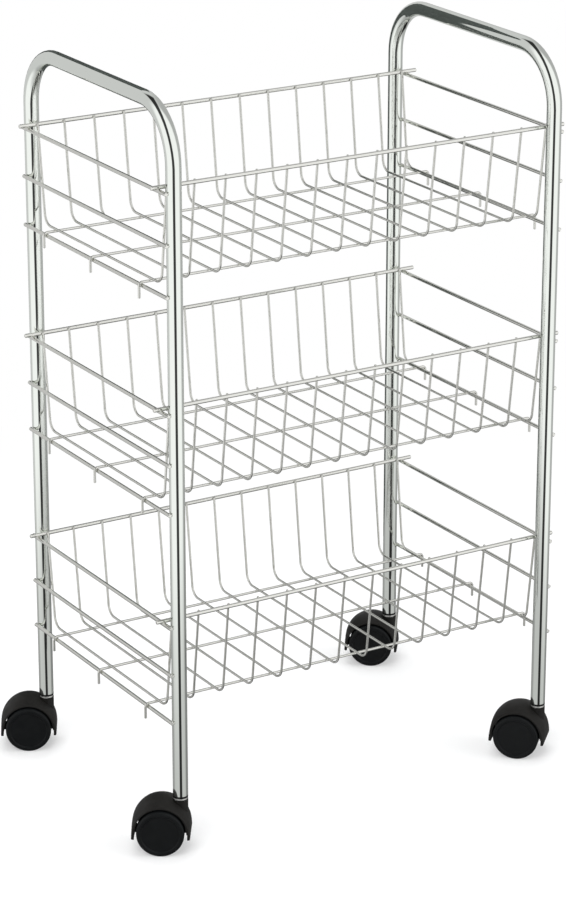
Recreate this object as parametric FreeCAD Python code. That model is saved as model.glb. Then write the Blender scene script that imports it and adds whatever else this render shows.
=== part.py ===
import FreeCAD, Part
import math
import os

# Three-tier wire trolley on swivel castors.
# Millimetres. +Z is up, +X points to the right end frame and -Y to the front.
# The origin is on the floor, midway between the four legs.

# End frames
overall_height = 635.0          # floor to the top of the handle bars
length_between_frames = 360.0   # leg axis to leg axis
leg_spacing = 241.3             # between the front and back leg of one frame
tube_diameter = 12.7
tube_wall = 1.0
arch_bend_radius = 46.0         # on the tube's axis
handle_rise = 66.5              # handle bar axis above the highest cross wire

# Cross wires, welded to the outside of the legs
tier_pitch = 182.0
cross_wire_spacing = 42.0
cross_wire_diameter = 3.2
cross_wire_overrun = 2.0        # past each leg's axis
cross_wires_per_tier = 3

# Baskets
rim_wire_diameter = 3.4
rim_overhang = 16.0             # past each leg's axis
rib_wire_diameter = 2.0
rib_spacing = 28.2
inner_rib_pairs = 6             # pairs of ribs between the two end ribs
wall_flare = 7.0                # degrees that the walls lean outwards
basket_corner_radius = 10.0     # on the rib's axis
floor_wire_diameter = 2.2
floor_wire_offset = 82.0        # outer floor wires, from the middle one
hook_drop = 13.0                # hook tip below the floor wire

# Castors
wheel_diameter = 40.0
wheel_width = 13.5
wheel_edge_radius = 1.8
wheel_ring_width = 1.6          # raised ring round the outer face
wheel_face_recess = 1.0
wheel_rim_wall = 3.0            # under the tread
wheel_disc_wall = 3.0           # behind the outer face
wheel_hub_wall = 2.5
axle_diameter = 6.0
axle_end_gap = 0.4
castor_trail = 16.0             # axle behind the stem
hood_arch_rise = 1.6            # centre of the hood's arch above the axle
hood_crown_radius = 41.0        # of the hood's top, from side to side
hood_wheel_gap = 2.1            # between the tread and the inside of the hood
hood_wall = 2.4
hood_lip_wall = 1.6             # side lip that the wheel shows through
hood_lip_gap = 1.4              # between the lip's arch and the tread
hood_lip_drop = 0.1             # centre of the lip's arch below the axle
hood_edge_radius = 1.0
hood_web_wall = 4.0             # plate between the wheels
hood_hub_wall = 3.0
boss_step = 0.3                 # stem boss above the hood behind it
lip_drop = 1.3                  # lower edge of the side lips below the axle
skirt_drop = 6.6                # lower edge of the end walls below the axle
skirt_tip_radius = 1.0
wheel_proud = 3.5               # wheel faces outside the hood's sides
wheel_side_gap = 0.5
stem_depth = 18.0               # stem inside the hood
stem_reach = 30.0               # stem inside the leg
stem_tip_chamfer = 1.0
collar_thickness = 1.7
collar_step = 0.6               # collar edge inside the tube's outline
socket_wall = 1.3
socket_flange = 1.8
socket_reach = 34.0             # sleeve inside the leg
grip_ring_diameter = 1.0        # spring ring near the top of the stem
grip_ring_drop = 5.0            # below the stem's tip

# How the castors stand in the photograph, degrees about their stems
rest_swivels = {
    "front_left": -33.0,
    "front_right": -45.0,
    "back_left": -29.0,
    "back_right": -37.0,
}

# Fits and clearances
weld_sink = 0.2                 # how far a welded wire sinks into its neighbour
seat_clearance = 0.3            # basket wires above the cross wires that carry them
rim_leg_clearance = 0.4
running_clearance = 0.05
press_clearance = 0.02
swivel_clearance = 0.2

# Construction allowances
cut_overrun = 1.0               # how far a cutting tool passes a face
edge_tolerance = 1e-6

# Sizes that follow
tube_radius = tube_diameter / 2
tube_bore_radius = tube_radius - tube_wall
cross_radius = cross_wire_diameter / 2
rim_radius = rim_wire_diameter / 2
rib_radius = rib_wire_diameter / 2
floor_radius = floor_wire_diameter / 2
tiers = ["bottom", "middle", "top"]
leg_x = length_between_frames / 2
leg_y = leg_spacing / 2
cross_wire_x = leg_x + tube_radius + cross_radius - weld_sink
tier_height = (cross_wires_per_tier - 1) * cross_wire_spacing
handle_height = overall_height - tube_radius
highest_wire = handle_height - handle_rise
lowest_wire_height = highest_wire - tier_height - (len(tiers) - 1) * tier_pitch

# Castor sizes that follow
wheel_radius = wheel_diameter / 2
axle_radius = axle_diameter / 2
axle_z = wheel_radius
boss_radius = tube_radius
wheel_inner_face = boss_radius + wheel_side_gap
wheel_outer_face = wheel_inner_face + wheel_width
hood_half_width = wheel_outer_face - wheel_proud
hood_inner_radius = wheel_radius + hood_wheel_gap
hood_outer_radius = hood_inner_radius + hood_wall
hood_lip_radius = wheel_radius + hood_lip_gap
hood_hub_radius = axle_radius + hood_hub_wall
arch_z = axle_z + hood_arch_rise
lip_arch_z = axle_z - hood_lip_drop
crown_z = arch_z + hood_outer_radius - hood_crown_radius
skirt_z = axle_z - skirt_drop
lip_z = axle_z - lip_drop
axle_half_length = wheel_outer_face - wheel_face_recess - wheel_disc_wall - axle_end_gap
boss_foot = arch_z + math.sqrt(hood_outer_radius ** 2 - (castor_trail - boss_radius) ** 2)
boss_top = boss_foot + boss_step
collar_bottom = boss_top + swivel_clearance
collar_top = collar_bottom + collar_thickness
tube_end = collar_top + socket_flange
socket_radius = tube_bore_radius - press_clearance
stem_radius = socket_radius - socket_wall - press_clearance
collar_radius = tube_radius - collar_step
stem_bottom = collar_bottom - stem_depth
stem_top = tube_end + stem_reach
grip_ring_z = stem_top - grip_ring_drop

UP = FreeCAD.Vector(0, 0, 1)
ALONG_X = FreeCAD.Vector(1, 0, 0)
ALONG_Y = FreeCAD.Vector(0, 1, 0)


def point(x, y, z):
    return FreeCAD.Vector(x, y, z)


def line(start, end):
    return Part.LineSegment(start, end).toShape()


def arc(start, middle, end):
    return Part.Arc(start, middle, end).toShape()


def rod(start, end, radius):
    """Straight round rod between two points."""
    run = end - start
    return Part.makeCylinder(radius, run.Length, start, run)


def sweep(edges, radius):
    """Round bar that follows a path of straight runs and tangent arcs."""
    path = Part.Wire(edges)
    start = edges[0].valueAt(edges[0].FirstParameter)
    heading = edges[0].tangentAt(edges[0].FirstParameter)
    section = Part.Wire(Part.makeCircle(radius, start, heading))
    return path.makePipeShell([section], True, True)


def save(name, *solids):
    shape = solids[0] if len(solids) == 1 else Part.makeCompound(list(solids))
    shape.exportStep("parts/" + name + ".step")


# End frames


def frame_path(x, foot):
    """Leg, bend, handle bar, bend and leg of one end frame, from front to back."""
    bend = arch_bend_radius
    diagonal = bend * math.sqrt(0.5)
    spring = handle_height - bend
    flat = leg_y - bend
    front_foot = point(x, -leg_y, foot)
    front_spring = point(x, -leg_y, spring)
    front_middle = point(x, -flat - diagonal, spring + diagonal)
    front_crown = point(x, -flat, handle_height)
    back_crown = point(x, flat, handle_height)
    back_middle = point(x, flat + diagonal, spring + diagonal)
    back_spring = point(x, leg_y, spring)
    back_foot = point(x, leg_y, foot)
    return [
        line(front_foot, front_spring),
        arc(front_spring, front_middle, front_crown),
        line(front_crown, back_crown),
        arc(back_crown, back_middle, back_spring),
        line(back_spring, back_foot),
    ]


def end_frame(x):
    path = frame_path(x, tube_end)
    return sweep(path, tube_radius).cut(sweep(path, tube_bore_radius))


def cross_wires(side, low):
    """The cross wires of one tier on one end frame, upwards from the lowest."""
    x = side * cross_wire_x
    reach = leg_y + cross_wire_overrun
    heights = [low + step * cross_wire_spacing for step in range(cross_wires_per_tier)]
    return [rod(point(x, -reach, z), point(x, reach, z), cross_radius) for z in heights]


# Baskets


rim_y = leg_y - tube_radius - rim_leg_clearance - rim_radius
rim_above_wire = cross_radius + seat_clearance + rim_radius
hook_radius = cross_radius + seat_clearance + floor_radius
rib_above_floor_wire = floor_radius + rib_radius - weld_sink
flare = math.radians(wall_flare)
rib_y_at_rim = rim_y - (rim_radius + rib_radius - weld_sink) / math.cos(flare)


def rim(side, low):
    z = low + tier_height + rim_above_wire
    reach = leg_x + rim_overhang
    return rod(point(-reach, side * rim_y, z), point(reach, side * rim_y, z), rim_radius)


def rib(x, low):
    """One U-shaped rib: wall, rounded corner, floor, rounded corner and wall."""
    rim_z = low + tier_height + rim_above_wire
    tip_z = rim_z + rim_radius
    floor_z = low + hook_radius + rib_above_floor_wire
    corner_y = rib_y_at_rim - (rim_z - floor_z) * math.tan(flare)
    tip_y = rib_y_at_rim + (tip_z - rim_z) * math.tan(flare)
    run = basket_corner_radius * math.tan((math.pi / 2 - flare) / 2)
    wall_y = corner_y + run * math.sin(flare)
    wall_z = floor_z + run * math.cos(flare)
    flat_y = corner_y - run
    half_turn = (math.pi / 2 - flare) / 2
    middle_y = flat_y + basket_corner_radius * math.sin(half_turn)
    middle_z = floor_z + basket_corner_radius * (1 - math.cos(half_turn))
    return sweep([
        line(point(x, -tip_y, tip_z), point(x, -wall_y, wall_z)),
        arc(point(x, -wall_y, wall_z), point(x, -middle_y, middle_z), point(x, -flat_y, floor_z)),
        line(point(x, -flat_y, floor_z), point(x, flat_y, floor_z)),
        arc(point(x, flat_y, floor_z), point(x, middle_y, middle_z), point(x, wall_y, wall_z)),
        line(point(x, wall_y, wall_z), point(x, tip_y, tip_z)),
    ], rib_radius)


def ribs(low):
    """Evenly spaced ribs, with the two end ribs in the plane of the legs."""
    inner = [rib_spacing * (pair + 0.5) for pair in range(inner_rib_pairs)]
    places = [-leg_x] + [-x for x in reversed(inner)] + inner + [leg_x]
    return [rib(x, low) for x in places]


def floor_wire(y, low):
    """Wire under the ribs, hooked over the lowest cross wire at both ends."""
    z = low + hook_radius
    diagonal = hook_radius * math.sqrt(0.5)
    far = cross_wire_x + hook_radius
    tip_z = z - hook_drop
    return sweep([
        line(point(-far, y, tip_z), point(-far, y, low)),
        arc(point(-far, y, low), point(-cross_wire_x - diagonal, y, low + diagonal),
            point(-cross_wire_x, y, z)),
        line(point(-cross_wire_x, y, z), point(cross_wire_x, y, z)),
        arc(point(cross_wire_x, y, z), point(cross_wire_x + diagonal, y, low + diagonal),
            point(far, y, low)),
        line(point(far, y, low), point(far, y, tip_z)),
    ], floor_radius)


def floor_wires(low):
    return [floor_wire(y, low) for y in (-floor_wire_offset, 0.0, floor_wire_offset)]


# Castors, built with the stem on the Z axis and the axle trailing towards -X


def arch_face(radius, centre_z, bottom, y):
    """Face under a round arch over the axle, with straight sides down to bottom."""
    front = radius - castor_trail
    back = -radius - castor_trail
    return Part.Face(Part.Wire([
        line(point(front, y, bottom), point(front, y, centre_z)),
        arc(point(front, y, centre_z), point(-castor_trail, y, centre_z + radius),
            point(back, y, centre_z)),
        line(point(back, y, centre_z), point(back, y, bottom)),
        line(point(back, y, bottom), point(front, y, bottom)),
    ]))


def crowned_block(radius, bottom, low_y, high_y):
    """Arched block between two side planes, its top crowned from side to side."""
    barrel = arch_face(radius, arch_z, crown_z, 0).revolve(point(0, 0, crown_z), ALONG_X, 360)
    slab = Part.makeBox(2 * radius, high_y - low_y, arch_z + radius - bottom,
                        point(-castor_trail - radius, low_y, bottom))
    return barrel.common(slab)


def side_edges(block, half_width, bottom):
    """Edges of both side faces, apart from the straight ones along the bottom."""
    chosen = []
    for edge in block.Edges:
        box = edge.BoundBox
        flat = box.YLength < edge_tolerance
        in_side = flat and abs(abs(box.YMin) - half_width) < edge_tolerance
        if in_side and box.ZMax > bottom + edge_tolerance:
            chosen.append(edge)
    return chosen


def skirt_tips(block, bottom):
    """Long bottom edges of the two end walls."""
    low = [edge for edge in block.Edges if edge.BoundBox.ZMax < bottom + edge_tolerance]
    return [edge for edge in low if edge.BoundBox.YLength > hood_half_width]


def castor_hood():
    """Moulded hood: arched cover, side lips, middle plate, axle hub and stem boss."""
    shell = crowned_block(hood_outer_radius, skirt_z, -hood_half_width, hood_half_width)
    shell = shell.makeFillet(hood_edge_radius, side_edges(shell, hood_half_width, skirt_z))
    web = hood_web_wall / 2
    pocket_side = hood_half_width - hood_lip_wall
    below = skirt_z - skirt_drop
    for side in (-1, 1):
        low_y, high_y = sorted((side * web, side * pocket_side))
        shell = shell.cut(crowned_block(hood_inner_radius, below, low_y, high_y))
        low_y, high_y = sorted((side * web, side * (hood_half_width + wheel_proud)))
        lip_arch = arch_face(hood_lip_radius, lip_arch_z, below, low_y)
        shell = shell.cut(lip_arch.extrude(point(0, high_y - low_y, 0)))
        lip_cut = Part.makeBox(2 * hood_inner_radius, high_y - low_y, lip_z - below,
                               point(-castor_trail - hood_inner_radius, low_y, below))
        shell = shell.cut(lip_cut)
    shell = shell.makeFillet(skirt_tip_radius, skirt_tips(shell, skirt_z))
    behind_hub = Part.makeBox(hood_inner_radius, hood_web_wall, hood_outer_radius,
                              point(-castor_trail - hood_hub_radius - hood_inner_radius, -web, axle_z))
    window = crowned_block(hood_inner_radius, below, -web, web).common(behind_hub)
    shell = shell.cut(window)
    hub = rod(point(-castor_trail, -boss_radius, axle_z), point(-castor_trail, boss_radius, axle_z),
              hood_hub_radius)
    column = rod(point(0, 0, stem_bottom - hood_hub_wall), point(0, 0, boss_top), boss_radius)
    hood = shell.fuse([hub, column])
    hood = hood.cut(rod(point(0, 0, stem_bottom - swivel_clearance), point(0, 0, collar_top),
                        stem_radius + running_clearance))
    hood = hood.cut(rod(point(-castor_trail, -hood_half_width, axle_z),
                        point(-castor_trail, hood_half_width, axle_z),
                        axle_radius + press_clearance))
    return hood.removeSplitter()


def castor_axle():
    start = point(-castor_trail, -axle_half_length, axle_z)
    return rod(start, point(-castor_trail, axle_half_length, axle_z), axle_radius)


def castor_wheel(side):
    """Cup-shaped wheel: closed outer face, hub inside, tread with rounded edges."""
    face = wheel_outer_face
    back = wheel_inner_face
    sunk = face - wheel_face_recess
    disc = sunk - wheel_disc_wall
    bore = axle_radius + running_clearance
    bore_end = axle_half_length + axle_end_gap
    hub = bore + wheel_hub_wall
    drum = wheel_radius - wheel_rim_wall
    edge = wheel_edge_radius
    bevel = edge * (1 - math.sqrt(0.5))
    ring = wheel_radius - edge - wheel_ring_width

    def at(radius, y):
        return point(radius, y, 0)

    outline = Part.Wire([
        line(at(0, sunk), at(ring - wheel_face_recess, sunk)),
        line(at(ring - wheel_face_recess, sunk), at(ring, face)),
        line(at(ring, face), at(wheel_radius - edge, face)),
        arc(at(wheel_radius - edge, face), at(wheel_radius - bevel, face - bevel),
            at(wheel_radius, face - edge)),
        line(at(wheel_radius, face - edge), at(wheel_radius, back + edge)),
        arc(at(wheel_radius, back + edge), at(wheel_radius - bevel, back + bevel),
            at(wheel_radius - edge, back)),
        line(at(wheel_radius - edge, back), at(drum, back)),
        line(at(drum, back), at(drum, disc)),
        line(at(drum, disc), at(hub, disc)),
        line(at(hub, disc), at(hub, back)),
        line(at(hub, back), at(bore, back)),
        line(at(bore, back), at(bore, bore_end)),
        line(at(bore, bore_end), at(0, bore_end)),
        line(at(0, bore_end), at(0, sunk)),
    ])
    wheel = Part.Face(outline).revolve(point(0, 0, 0), ALONG_Y, 360)
    if side < 0:
        wheel = wheel.mirror(point(0, 0, 0), ALONG_Y)
    wheel.translate(point(-castor_trail, 0, axle_z))
    return wheel


def castor_stem():
    """Plain stem with a collar below the leg and a groove for its grip ring."""
    shank = rod(point(0, 0, stem_bottom), point(0, 0, stem_top), stem_radius)
    tips = [edge for edge in shank.Edges if edge.BoundBox.ZMin > stem_top - edge_tolerance]
    shank = shank.makeChamfer(stem_tip_chamfer, tips)
    collar = rod(point(0, 0, collar_bottom), point(0, 0, collar_top), collar_radius)
    groove = Part.makeTorus(stem_radius, grip_ring_diameter / 2 + press_clearance,
                            point(0, 0, grip_ring_z), UP)
    return shank.fuse(collar).cut(groove)


def grip_ring():
    """Spring ring in the stem's groove; its outside bears on the socket's bore."""
    return Part.makeTorus(stem_radius, grip_ring_diameter / 2, point(0, 0, grip_ring_z), UP)


def tube_socket():
    """Plastic sleeve pressed into the foot of a leg, with a flange under the tube."""
    flange = rod(point(0, 0, collar_top), point(0, 0, tube_end), tube_radius)
    sleeve = rod(point(0, 0, tube_end), point(0, 0, tube_end + socket_reach), socket_radius)
    bore = rod(point(0, 0, collar_top - cut_overrun),
               point(0, 0, tube_end + socket_reach + cut_overrun),
               stem_radius + press_clearance)
    relief = Part.makeTorus(stem_radius, grip_ring_diameter / 2 + press_clearance,
                            point(0, 0, grip_ring_z), UP)
    return flange.fuse(sleeve).cut(bore).cut(relief).removeSplitter()


def placed(shape, corner):
    """Copy of a castor piece, swivelled and moved under its leg."""
    depth, side = corner.split("_")
    x = -leg_x if side == "left" else leg_x
    y = -leg_y if depth == "front" else leg_y
    copy = shape.copy()
    copy.rotate(point(0, 0, 0), UP, rest_swivels[corner])
    copy.translate(point(x, y, 0))
    return copy


def main():
    os.makedirs("parts", exist_ok=True)
    for name, side in (("left", -1), ("right", 1)):
        save(name + "_end_frame", end_frame(side * leg_x))
        for tier, tier_name in enumerate(tiers):
            low = lowest_wire_height + tier * tier_pitch
            save(name + "_" + tier_name + "_cross_wires", *cross_wires(side, low))
    for tier, tier_name in enumerate(tiers):
        low = lowest_wire_height + tier * tier_pitch
        basket = tier_name + "_basket_"
        save(basket + "front_rim", rim(-1, low))
        save(basket + "back_rim", rim(1, low))
        save(basket + "ribs", *ribs(low))
        save(basket + "floor_wires", *floor_wires(low))
    pieces = {
        "castor_hood": castor_hood(),
        "castor_axle": castor_axle(),
        "castor_left_wheel": castor_wheel(1),
        "castor_right_wheel": castor_wheel(-1),
        "castor_stem": castor_stem(),
        "tube_socket": tube_socket(),
    }
    for corner in rest_swivels:
        for name, piece in pieces.items():
            save(corner + "_" + name, placed(piece, corner))
    ring = grip_ring()
    save("stem_grip_rings", *[placed(ring, corner) for corner in rest_swivels])


main()
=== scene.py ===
import math

import bpy
from mathutils import Matrix, Vector


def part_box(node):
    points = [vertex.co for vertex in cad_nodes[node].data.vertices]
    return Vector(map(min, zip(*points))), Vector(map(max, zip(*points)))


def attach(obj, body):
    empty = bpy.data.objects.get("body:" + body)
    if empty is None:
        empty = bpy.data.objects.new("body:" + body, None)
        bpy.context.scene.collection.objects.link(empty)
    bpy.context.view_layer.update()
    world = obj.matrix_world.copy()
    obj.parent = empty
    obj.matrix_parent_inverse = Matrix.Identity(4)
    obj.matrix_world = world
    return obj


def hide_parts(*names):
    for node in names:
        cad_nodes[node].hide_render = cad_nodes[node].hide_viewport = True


# Wire basket trolley: chromed end frames and baskets are modelled here in fine round bar with
# their welds; the castors are the CAD pieces with moulded and plated finishes.
# Metres, +Z up, +X to the right end frame, -Y to the front.
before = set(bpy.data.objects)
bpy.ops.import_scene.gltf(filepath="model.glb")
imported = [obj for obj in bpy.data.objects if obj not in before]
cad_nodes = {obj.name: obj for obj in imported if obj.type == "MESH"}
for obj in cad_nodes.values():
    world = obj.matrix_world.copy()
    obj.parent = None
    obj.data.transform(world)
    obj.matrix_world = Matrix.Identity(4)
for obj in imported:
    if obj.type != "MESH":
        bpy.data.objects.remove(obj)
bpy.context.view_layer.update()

# Sizes shared with the part
LEG_X, LEG_Y = 0.180, 0.12065
TUBE_RADIUS, TUBE_WALL = 0.00635, 0.001
ARCH_BEND = 0.046
HANDLE_Z = 0.62865
TUBE_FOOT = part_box("left_end_frame")[0].z
TIER_LOW = {"bottom": 0.11415, "middle": 0.29615, "top": 0.47815}
CROSS_RADIUS, CROSS_STEP = 0.0016, 0.042
CROSS_X = 0.18775
CROSS_REACH = LEG_Y + 0.002
RIM_RADIUS, RIM_Y, RIM_RISE, RIM_REACH = 0.0017, 0.1122, 0.0876, 0.196
RIB_RADIUS, RIB_STEP, RIB_PAIRS = 0.001, 0.0282, 6
RIB_CORNER, WALL_FLARE = 0.010, math.radians(7.0)
FLOOR_RADIUS, FLOOR_OFFSET = 0.0011, 0.082
HOOK_BEND, HOOK_DROP = 0.003, 0.013
WELD_SINK = 0.0002
RIB_FLOOR = HOOK_BEND + FLOOR_RADIUS + RIB_RADIUS - WELD_SINK
RIB_Y_AT_RIM = RIM_Y - (RIM_RADIUS + RIB_RADIUS - WELD_SINK) / math.cos(WALL_FLARE)
SIDES = {"left": -1, "right": 1}

# Fineness of the round bar, and half sizes of the weld fillets
TUBE_SIDES, THICK_WIRE_SIDES, THIN_WIRE_SIDES = 40, 20, 16
DEGREES_PER_STEP, FEWEST_STEPS = 7, 6
CHAMFER_SHARE = 0.3
SMOOTH_ANGLE = math.radians(35)
LEG_WELD = (0.0007, 0.0026, 0.0016)
RIM_WELD = (0.0013, 0.0005, 0.0014)
FLOOR_WELD = (0.0012, 0.0013, 0.0005)


# Modelling

def clear_selection():
    """Object mode with nothing selected."""
    if bpy.context.mode != "OBJECT":
        bpy.ops.object.mode_set(mode="OBJECT")
    bpy.ops.object.select_all(action="DESELECT")


def bent_bar(name, start, heading, radius, bends, sides, chamfered=True):
    """A bar of round stock bent as on a bench: bends is a list of ("out", length) and
    ("turn", axis, degrees, radius). The ends are lightly chamfered, or left open for a tube."""
    at, heading = Vector(start), Vector(heading).normalized()
    tip = CHAMFER_SHARE * radius if chamfered else 0.0
    first = radius - tip
    clear_selection()
    bpy.ops.mesh.primitive_circle_add(
        vertices=sides, radius=first, location=at,
        rotation=Vector((0, 0, 1)).rotation_difference(heading).to_euler())
    bar = bpy.context.object
    bar.name = bar.data.name = name
    bpy.ops.object.transform_apply(location=True, rotation=True, scale=True)
    bpy.ops.object.mode_set(mode="EDIT")
    bpy.ops.mesh.select_all(action="SELECT")

    def draw_out(length):
        bpy.ops.mesh.extrude_edges_move(TRANSFORM_OT_translate={"value": heading * length})
        return at + heading * length

    def widen(factor):
        bpy.ops.transform.resize(value=(factor,) * 3, center_override=at)

    if chamfered:
        at = draw_out(tip)
        widen(radius / first)
        bends = [list(bend) for bend in bends]
        bends[0][1] -= tip
        bends[-1][1] -= tip
    for bend in bends:
        if bend[0] == "out":
            at = draw_out(bend[1])
            continue
        axis, turn, reach = Vector(bend[1]), math.radians(bend[2]), bend[3]
        centre = at + reach * axis.cross(heading)
        # The spin operator turns the other way round its axis.
        steps = max(FEWEST_STEPS, round(bend[2] / DEGREES_PER_STEP))
        bpy.ops.mesh.spin(steps=steps, angle=-turn, center=centre, axis=axis)
        rotation = Matrix.Rotation(turn, 3, axis)
        at, heading = centre + rotation @ (at - centre), rotation @ heading
    if chamfered:
        at = draw_out(tip)
        widen(first / radius)
        bpy.ops.mesh.select_all(action="SELECT")
        bpy.ops.mesh.fill_holes(sides=0)
    bpy.ops.mesh.select_all(action="SELECT")
    bpy.ops.mesh.normals_make_consistent(inside=False)
    clear_selection()
    return bar


def copies(piece, places):
    """The piece at each of the places, every copy with its own mesh; the first one goes."""
    made = []
    for place in places:
        twin = piece.copy()
        twin.data = piece.data.copy()
        twin.data.transform(Matrix.Translation(place))
        bpy.context.scene.collection.objects.link(twin)
        made.append(twin)
    bpy.data.objects.remove(piece)
    return made


def weld(size):
    """The rounded fillet of metal that a spot weld leaves between two crossing wires."""
    clear_selection()
    bpy.ops.mesh.primitive_ico_sphere_add(subdivisions=2, radius=1.0)
    fillet = bpy.context.object
    bpy.ops.object.mode_set(mode="EDIT")
    bpy.ops.mesh.select_all(action="SELECT")
    bpy.ops.transform.resize(value=size, center_override=(0, 0, 0))
    clear_selection()
    return fillet


def joined(name, pieces):
    clear_selection()
    for piece in pieces:
        piece.select_set(True)
    bpy.context.view_layer.objects.active = pieces[0]
    if len(pieces) > 1:
        bpy.ops.object.join()
    whole = pieces[0]
    whole.name = whole.data.name = name
    bpy.ops.object.shade_smooth_by_angle(angle=SMOOTH_ANGLE)
    clear_selection()
    return whole


def dressed(piece, material, body, slot, *nodes):
    """The finished piece takes its material and body, and its CAD nodes are hidden."""
    piece.data.materials.clear()
    piece.data.materials.append(material)
    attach(piece, body)
    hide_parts(*nodes)


# Finishes

def linear(hex_colour):
    """An sRGB hex colour as linear RGBA."""
    parts = [int(hex_colour[i:i + 2], 16) / 255 for i in (1, 3, 5)]
    return [c / 12.92 if c <= 0.04045 else ((c + 0.055) / 1.055) ** 2.4 for c in parts] + [1.0]


def add(tree, kind, settings=None, values=None, links=None):
    """Adds a node with its settings and input values, and links inputs to other nodes' outputs."""
    node = tree.nodes.new(kind)
    for name, value in (settings or {}).items():
        setattr(node, name, value)
    for socket, value in (values or {}).items():
        node.inputs[socket].default_value = value
    for socket, (source, output) in (links or {}).items():
        tree.links.new(source.outputs[output], node.inputs[socket])
    return node


def new_finish(name, base, metallic, roughness, specular=0.5):
    """A material with its Principled shader and Object coordinates."""
    finish = bpy.data.materials.new(name)
    finish.use_nodes = True
    tree = finish.node_tree
    shader = tree.nodes["Principled BSDF"]
    shader.inputs["Base Color"].default_value = linear(base)
    shader.inputs["Metallic"].default_value = metallic
    shader.inputs["Roughness"].default_value = roughness
    shader.inputs["Specular IOR Level"].default_value = specular
    return finish, tree, shader, add(tree, "ShaderNodeTexCoord")


def per_metre(millimetres):
    """Texture scale at which one feature is that many millimetres across."""
    return 1000.0 / millimetres


def plated(name, base, smudge_mm, low, high, ripple_mm, ripple):
    """Bright plating: a mirror that hands have dulled in soft patches, over a faintly rippled
    surface. low and high are roughness, ripple is a height in millimetres."""
    finish, tree, shader, place = new_finish(name, base, 1.0, low)
    smudges = add(tree, "ShaderNodeTexNoise", values={"Scale": per_metre(smudge_mm), "Detail": 4.0},
                  links={"Vector": (place, "Object")})
    dulling = add(tree, "ShaderNodeMapRange",
                  values={"From Min": 0.35, "From Max": 0.75, "To Min": low, "To Max": high},
                  links={"Value": (smudges, "Fac")})
    tree.links.new(dulling.outputs["Result"], shader.inputs["Roughness"])
    ripples = add(tree, "ShaderNodeTexNoise", values={"Scale": per_metre(ripple_mm), "Detail": 2.0},
                  links={"Vector": (place, "Object")})
    relief = add(tree, "ShaderNodeBump", values={"Strength": 1.0, "Distance": ripple * 0.001},
                 links={"Height": (ripples, "Fac")})
    tree.links.new(relief.outputs["Normal"], shader.inputs["Normal"])
    return finish


# Colour sockets of the Mix node by number, since its sockets share names
MIX_FIRST, MIX_SECOND, MIX_RESULT = 6, 7, 2


def moulded(name, dark, light, low, high, grain_mm, grain, cloud_mm, specular):
    """Moulded black plastic: fine grain from the mould, and cloudy gloss where it has been
    handled. low and high are roughness, grain is a height in millimetres."""
    finish, tree, shader, place = new_finish(name, dark, 0.0, high, specular)
    clouds = add(tree, "ShaderNodeTexNoise", values={"Scale": per_metre(cloud_mm), "Detail": 5.0},
                 links={"Vector": (place, "Object")})
    shade = add(tree, "ShaderNodeMix", {"data_type": "RGBA"}, links={"Factor": (clouds, "Fac")})
    shade.inputs[MIX_FIRST].default_value = linear(dark)
    shade.inputs[MIX_SECOND].default_value = linear(light)
    tree.links.new(shade.outputs[MIX_RESULT], shader.inputs["Base Color"])
    gloss = add(tree, "ShaderNodeMapRange",
                values={"From Min": 0.3, "From Max": 0.7, "To Min": low, "To Max": high},
                links={"Value": (clouds, "Fac")})
    tree.links.new(gloss.outputs["Result"], shader.inputs["Roughness"])
    pits = add(tree, "ShaderNodeTexNoise", values={"Scale": per_metre(grain_mm), "Detail": 3.0},
               links={"Vector": (place, "Object")})
    relief = add(tree, "ShaderNodeBump", values={"Strength": 1.0, "Distance": grain * 0.001},
                 links={"Height": (pits, "Fac")})
    tree.links.new(relief.outputs["Normal"], shader.inputs["Normal"])
    return finish


# Chrome plate over polished tube: a clear mirror with long sharp reflections, dulled by fingers
tube_chrome = plated("chrome_plate_on_polished_tube", "#f0f4ef", 22.0, 0.03, 0.08, 6.0, 0.004)
# Chrome plate over drawn wire: bright, but the drawn surface under it softens every reflection
wire_chrome = plated("chrome_plate_on_drawn_wire", "#e8e8e3", 15.0, 0.10, 0.20, 1.5, 0.006)
# Zinc plate over turned steel: paler and softer than chrome
stem_zinc = plated("bright_zinc_on_turned_steel", "#f8f8f5", 5.0, 0.48, 0.60, 0.8, 0.004)
# Glass-filled nylon from a spark-eroded mould: matt black with a fine grain, drawn coarser to show
hood_nylon = moulded("black_nylon_spark_grain", "#151413", "#1d1c1a",
                     0.46, 0.62, 0.6, 0.03, 9.0, 0.22)
# Nylon from a polished mould: satin black, smoother than the hood
wheel_nylon = moulded("black_nylon_satin_wheel", "#0d0e0f", "#141617",
                      0.36, 0.50, 0.9, 0.012, 7.0, 0.16)
# Polyethylene: waxy black
socket_plastic = moulded("black_polyethylene_socket", "#0e0e0f", "#151515",
                         0.30, 0.42, 0.8, 0.01, 4.0, 0.3)


# End frames

arch_straight = HANDLE_Z - ARCH_BEND - TUBE_FOOT
for side, sign in SIDES.items():
    foot = (sign * LEG_X, -LEG_Y, TUBE_FOOT)
    tube = bent_bar(side + "_bent_tube", foot, (0, 0, 1), TUBE_RADIUS, [
        ("out", arch_straight),
        ("turn", (-1, 0, 0), 90, ARCH_BEND),
        ("out", 2 * (LEG_Y - ARCH_BEND)),
        ("turn", (-1, 0, 0), 90, ARCH_BEND),
        ("out", arch_straight),
    ], TUBE_SIDES, chamfered=False)
    wall = tube.modifiers.new("wall", "SOLIDIFY")
    wall.thickness = TUBE_WALL
    wall.offset = -1
    bpy.context.view_layer.objects.active = tube
    bpy.ops.object.modifier_apply(modifier="wall")
    dressed(joined(tube.name, [tube]), tube_chrome, "end_frames", "chrome_tube", side + "_end_frame")

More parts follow.
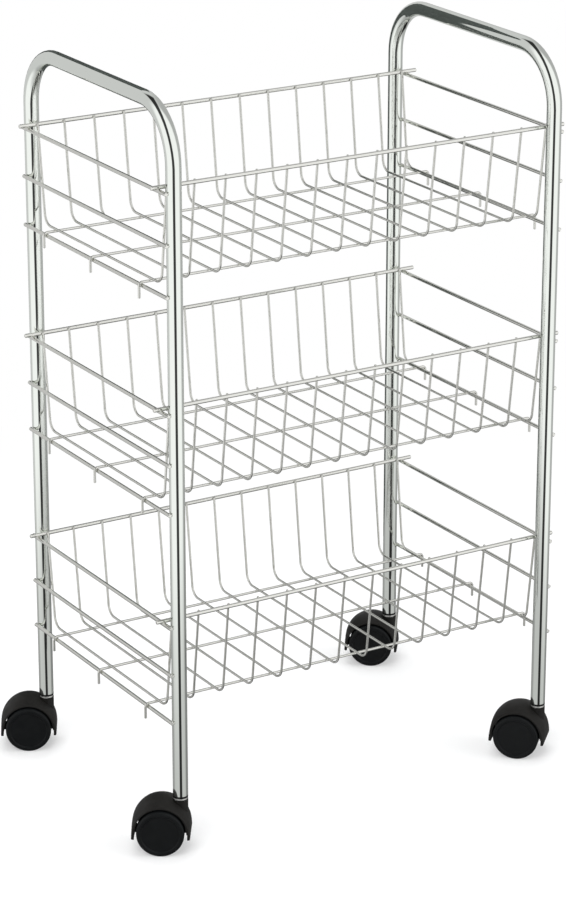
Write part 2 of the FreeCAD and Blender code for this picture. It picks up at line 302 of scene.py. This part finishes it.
# Cross wires with the fillets that weld them to the legs
for side, sign in SIDES.items():
    for tier, low in TIER_LOW.items():
        heights = [low + step * CROSS_STEP for step in range(3)]
        wire = bent_bar("cross_wire", (sign * CROSS_X, -CROSS_REACH, 0), (0, 1, 0), CROSS_RADIUS,
                        [("out", CROSS_REACH), ("out", CROSS_REACH)], THICK_WIRE_SIDES)
        pieces = copies(wire, [(0, 0, z) for z in heights])
        contact = sign * (LEG_X + TUBE_RADIUS)
        pieces += copies(weld(LEG_WELD),
                         [(contact, y, z) for z in heights for y in (-LEG_Y, LEG_Y)])
        node = side + "_" + tier + "_cross_wires"
        dressed(joined(side + "_" + tier + "_welded_cross_wires", pieces), wire_chrome, "end_frames",
                "chrome_wire", node)


# Baskets

def rib_bar():
    """One U-shaped rib at x = 0 over a tier whose lowest cross wire is at z = 0."""
    tip_y = RIB_Y_AT_RIM + RIM_RADIUS * math.tan(WALL_FLARE)
    tip_z = RIM_RISE + RIM_RADIUS
    corner_y = RIB_Y_AT_RIM - (RIM_RISE - RIB_FLOOR) * math.tan(WALL_FLARE)
    turn = math.pi / 2 - WALL_FLARE
    tangent = RIB_CORNER * math.tan(turn / 2)
    wall = (tip_z - RIB_FLOOR) / math.cos(WALL_FLARE) - tangent
    down_wall = (0, math.sin(WALL_FLARE), -math.cos(WALL_FLARE))
    return bent_bar("rib", (0, -tip_y, tip_z), down_wall, RIB_RADIUS, [
        ("out", wall),
        ("turn", (1, 0, 0), math.degrees(turn), RIB_CORNER),
        ("out", 2 * (corner_y - tangent)),
        ("turn", (1, 0, 0), math.degrees(turn), RIB_CORNER),
        ("out", wall),
    ], THIN_WIRE_SIDES)


def floor_bar():
    """One floor wire at y = 0 with a hook at each end, over a lowest cross wire at z = 0."""
    hook_tip = (-CROSS_X - HOOK_BEND, 0, HOOK_BEND - HOOK_DROP)
    return bent_bar("floor_wire", hook_tip, (0, 0, 1), FLOOR_RADIUS, [
        ("out", HOOK_DROP - HOOK_BEND),
        ("turn", (0, 1, 0), 90, HOOK_BEND),
        ("out", 2 * CROSS_X),
        ("turn", (0, 1, 0), 90, HOOK_BEND),
        ("out", HOOK_DROP - HOOK_BEND),
    ], THIN_WIRE_SIDES)


inner = [RIB_STEP * (pair + 0.5) for pair in range(RIB_PAIRS)]
rib_places = [-LEG_X] + [-x for x in reversed(inner)] + inner + [LEG_X]
floor_places = (-FLOOR_OFFSET, 0.0, FLOOR_OFFSET)
for tier, low in TIER_LOW.items():
    body = tier + "_basket"
    for face, side in (("front", -1), ("back", 1)):
        rim_end = (-RIM_REACH, side * RIM_Y, low + RIM_RISE)
        rim = bent_bar("rim", rim_end, (1, 0, 0), RIM_RADIUS,
                       [("out", RIM_REACH), ("out", RIM_REACH)], THICK_WIRE_SIDES)
        weld_y = side * (RIM_Y - RIM_RADIUS)
        pieces = [rim] + copies(weld(RIM_WELD), [(x, weld_y, low + RIM_RISE) for x in rib_places])
        dressed(joined(body + "_" + face + "_welded_rim", pieces), wire_chrome, body, "chrome_wire",
                body + "_" + face + "_rim")
    pieces = copies(rib_bar(), [(x, 0, low) for x in rib_places])
    dressed(joined(body + "_bent_ribs", pieces), wire_chrome, body, "chrome_wire", body + "_ribs")
    pieces = copies(floor_bar(), [(0, y, low) for y in floor_places])
    weld_z = low + HOOK_BEND + FLOOR_RADIUS
    pieces += copies(weld(FLOOR_WELD), [(x, y, weld_z) for x in rib_places for y in floor_places])
    dressed(joined(body + "_hooked_floor_wires", pieces), wire_chrome, body, "chrome_wire",
            body + "_floor_wires")


# Castors keep their CAD shapes

castor_finishes = {
    "castor_hood": hood_nylon,
    "castor_axle": stem_zinc,
    "castor_left_wheel": wheel_nylon,
    "castor_right_wheel": wheel_nylon,
    "castor_stem": stem_zinc,
    "tube_socket": socket_plastic,
}
for corner in ("front_left", "front_right", "back_left", "back_right"):
    for piece, finish in castor_finishes.items():
        cad_nodes[corner + "_" + piece].data.materials[0] = finish
cad_nodes["stem_grip_rings"].data.materials[0] = stem_zinc


# Studio

# Camera fitted to the photo: degrees, metres and millimetres of lens
CAMERA_YAW, CAMERA_PITCH = 31.05, 19.86
CAMERA_PLACE, LENS, SENSOR = (-1.4048, -2.3192, 1.2589), 134.4, 36.0
# Floor: its size, how far its shadow fades, and how bright metal sees it near the trolley
FLOOR_SIZE, SHADOW_FADE, FLOOR_SHADE = 24.0, 0.4, 0.55
# Dark gap that metal mirrors: lean, half width, soft edge, level, and where it ends
GAP_LEAN, GAP_HALF, GAP_BLUR, GAP_LEVEL, GAP_END = 0.35, 0.27, 0.05, 0.045, (0.45, 0.62)
BACK_GREY_LEFT, BACK_GREY_RIGHT = 0.63, 0.45
CARD_PLACE, CARD_SIZE = (0.02, 0.44, 0.5), (0.32, 1.0)
WORLD_LIGHT, LIGHT_AIM = 0.55, (0, 0, 0.3)
# Soft boxes: place, width and watts
SOFT_BOXES = {
    "key_softbox": ((-1.6, -1.2, 2.2), 1.6, 40.0),
    "fill_softbox": ((1.8, -1.6, 1.6), 1.6, 24.0),
    "top_softbox": ((0.2, 0.6, 2.6), 2.0, 36.0),
}


def studio_floor():
    """A wide pale floor. Metal mirrors the studio through it, dimmed close to the trolley, where
    the real floor lies in soft shade."""
    clear_selection()
    bpy.ops.mesh.primitive_plane_add(size=FLOOR_SIZE)
    floor = bpy.context.object
    floor.name = "studio_floor"
    finish = bpy.data.materials.new("white_studio_floor")
    finish.use_nodes = True
    tree = finish.node_tree
    shader = tree.nodes["Principled BSDF"]
    shader.inputs["Base Color"].default_value = linear("#f7f7f7")
    shader.inputs["Roughness"].default_value = 0.9
    shader.inputs["Specular IOR Level"].default_value = 0.0
    # Away from the trolley the camera sees plain white; under it the shadow stays, but faint.
    place = add(tree, "ShaderNodeTexCoord")
    away = add(tree, "ShaderNodeVectorMath", {"operation": "LENGTH"},
               links={"Vector": (place, "Object")})
    fade = add(tree, "ShaderNodeMapRange", {"interpolation_type": "SMOOTHSTEP"},
               values={"From Min": 0.3, "From Max": 0.9, "To Min": SHADOW_FADE, "To Max": 1.0},
               links={"Value": (away, "Value")})
    path = add(tree, "ShaderNodeLightPath")
    white = add(tree, "ShaderNodeEmission", values={"Color": (1, 1, 1, 1), "Strength": 1.0})
    share = add(tree, "ShaderNodeMath", {"operation": "MULTIPLY"})
    tree.links.new(path.outputs["Is Camera Ray"], share.inputs[0])
    tree.links.new(fade.outputs["Result"], share.inputs[1])
    seen = add(tree, "ShaderNodeMixShader", links={"Fac": (share, "Value")})
    tree.links.new(shader.outputs[0], seen.inputs[1])
    tree.links.new(white.outputs[0], seen.inputs[2])
    shade = add(tree, "ShaderNodeMapRange", {"interpolation_type": "SMOOTHSTEP"},
                values={"From Min": 0.25, "From Max": 0.95, "To Min": FLOOR_SHADE, "To Max": 1.0},
                links={"Value": (away, "Value")})
    mirrored = add(tree, "ShaderNodeBsdfTransparent", links={"Color": (shade, "Result")})
    both = add(tree, "ShaderNodeMixShader", links={"Fac": (path, "Is Glossy Ray")})
    tree.links.new(seen.outputs[0], both.inputs[1])
    tree.links.new(mirrored.outputs[0], both.inputs[2])
    tree.links.new(both.outputs[0], tree.nodes["Material Output"].inputs["Surface"])
    floor.data.materials.append(finish)


def studio_world():
    """White studio with a grey back, and a dark gap between two soft boxes that runs from the
    camera's feet up and over the trolley. Only reflections show the gap and the grey."""
    world = bpy.data.worlds.new("studio_white")
    bpy.context.scene.world = world
    world.use_nodes = True
    tree = world.node_tree
    tree.nodes.clear()
    path = add(tree, "ShaderNodeLightPath")
    place = add(tree, "ShaderNodeTexCoord")

    def along(axis):
        reach = add(tree, "ShaderNodeVectorMath", {"operation": "DOT_PRODUCT"},
                    links={"Vector": (place, "Generated")})
        reach.inputs[1].default_value = axis
        return reach

    def ramp(source, output, start, end, low, high):
        return add(tree, "ShaderNodeMapRange", {"interpolation_type": "SMOOTHSTEP"},
                   values={"From Min": start, "From Max": end, "To Min": low, "To Max": high},
                   links={"Value": (source, output)})

    def combined(operation, first, second):
        node = add(tree, "ShaderNodeMath", {"operation": operation})
        tree.links.new(first.outputs[0], node.inputs[0])
        tree.links.new(second.outputs[0], node.inputs[1])
        return node

    yaw = math.radians(CAMERA_YAW)
    away = along((math.sin(yaw), math.cos(yaw), 0))
    right = along((math.cos(yaw), -math.sin(yaw), 0))
    aside = along(Vector((math.cos(yaw), -math.sin(yaw), GAP_LEAN)).normalized())
    offset = add(tree, "ShaderNodeMath", {"operation": "ABSOLUTE"},
                 links={"Value": (aside, "Value")})
    gap = ramp(offset, "Value", GAP_HALF - GAP_BLUR, GAP_HALF + GAP_BLUR, GAP_LEVEL, 1.0)
    gap_end = ramp(away, "Value", *GAP_END, 0.0, 1.0)
    back_grey = ramp(right, "Value", -0.2, 0.4, BACK_GREY_LEFT, BACK_GREY_RIGHT)
    back = ramp(away, "Value", -0.15, 0.2, 1.0, 0.5)
    tree.links.new(back_grey.outputs["Result"], back.inputs["To Max"])
    level = combined("MULTIPLY", combined("MAXIMUM", gap, gap_end), back)
    mirrored = add(tree, "ShaderNodeBackground", values={"Color": (1, 1, 1, 1)},
                   links={"Strength": (level, "Value")})
    seen = add(tree, "ShaderNodeBackground", values={"Color": (1, 1, 1, 1), "Strength": 1.0})
    lit = add(tree, "ShaderNodeBackground",
              values={"Color": linear("#f4f6f8"), "Strength": WORLD_LIGHT})
    shiny = add(tree, "ShaderNodeMixShader", links={"Fac": (path, "Is Glossy Ray")})
    tree.links.new(lit.outputs[0], shiny.inputs[1])
    tree.links.new(mirrored.outputs[0], shiny.inputs[2])
    direct = add(tree, "ShaderNodeMath", {"operation": "MAXIMUM"})
    tree.links.new(path.outputs["Is Camera Ray"], direct.inputs[0])
    tree.links.new(path.outputs["Is Transmission Ray"], direct.inputs[1])
    view = add(tree, "ShaderNodeMixShader", links={"Fac": (direct, "Value")})
    tree.links.new(shiny.outputs[0], view.inputs[1])
    tree.links.new(seen.outputs[0], view.inputs[2])
    add(tree, "ShaderNodeOutputWorld", links={"Surface": (view, "Shader")})


def soft_light(name, place, size, power):
    """A square soft light aimed at the middle of the trolley."""
    light = bpy.data.lights.new(name, "AREA")
    light.size = size
    light.energy = power
    lamp = bpy.data.objects.new(name, light)
    bpy.context.scene.collection.objects.link(lamp)
    lamp.location = place
    aim = Vector(LIGHT_AIM) - Vector(place)
    lamp.rotation_euler = aim.to_track_quat("-Z", "Y").to_euler()
    lamp.visible_glossy = False


def dark_card():
    """Tall dark card close behind the trolley, seen only in what the bars and wires reflect."""
    clear_selection()
    bpy.ops.mesh.primitive_plane_add(size=1.0, location=CARD_PLACE,
                                     rotation=(math.radians(90), 0, 0))
    card = bpy.context.object
    card.name = "black_card"
    card.scale = (*CARD_SIZE, 1.0)
    bpy.ops.object.transform_apply(location=True, rotation=True, scale=True)
    finish = bpy.data.materials.new("black_card_cloth")
    finish.use_nodes = True
    shader = finish.node_tree.nodes["Principled BSDF"]
    shader.inputs["Base Color"].default_value = linear("#434745")
    shader.inputs["Roughness"].default_value = 1.0
    card.data.materials.append(finish)
    card.visible_camera = False
    card.visible_diffuse = False
    card.visible_shadow = False
    card.visible_transmission = False


camera_data = bpy.data.cameras.new("photo_view")
camera_data.sensor_width = SENSOR
camera_data.lens = LENS
camera_data.clip_end = 50.0
camera = bpy.data.objects.new("photo_view", camera_data)
bpy.context.scene.collection.objects.link(camera)
camera.location = CAMERA_PLACE
camera.rotation_euler = (math.radians(90 - CAMERA_PITCH), 0, math.radians(-CAMERA_YAW))
bpy.context.scene.camera = camera

studio_floor()
studio_world()
dark_card()
for name, (place, size, power) in SOFT_BOXES.items():
    soft_light(name, place, size, power)

bpy.context.scene.view_settings.view_transform = "Standard"
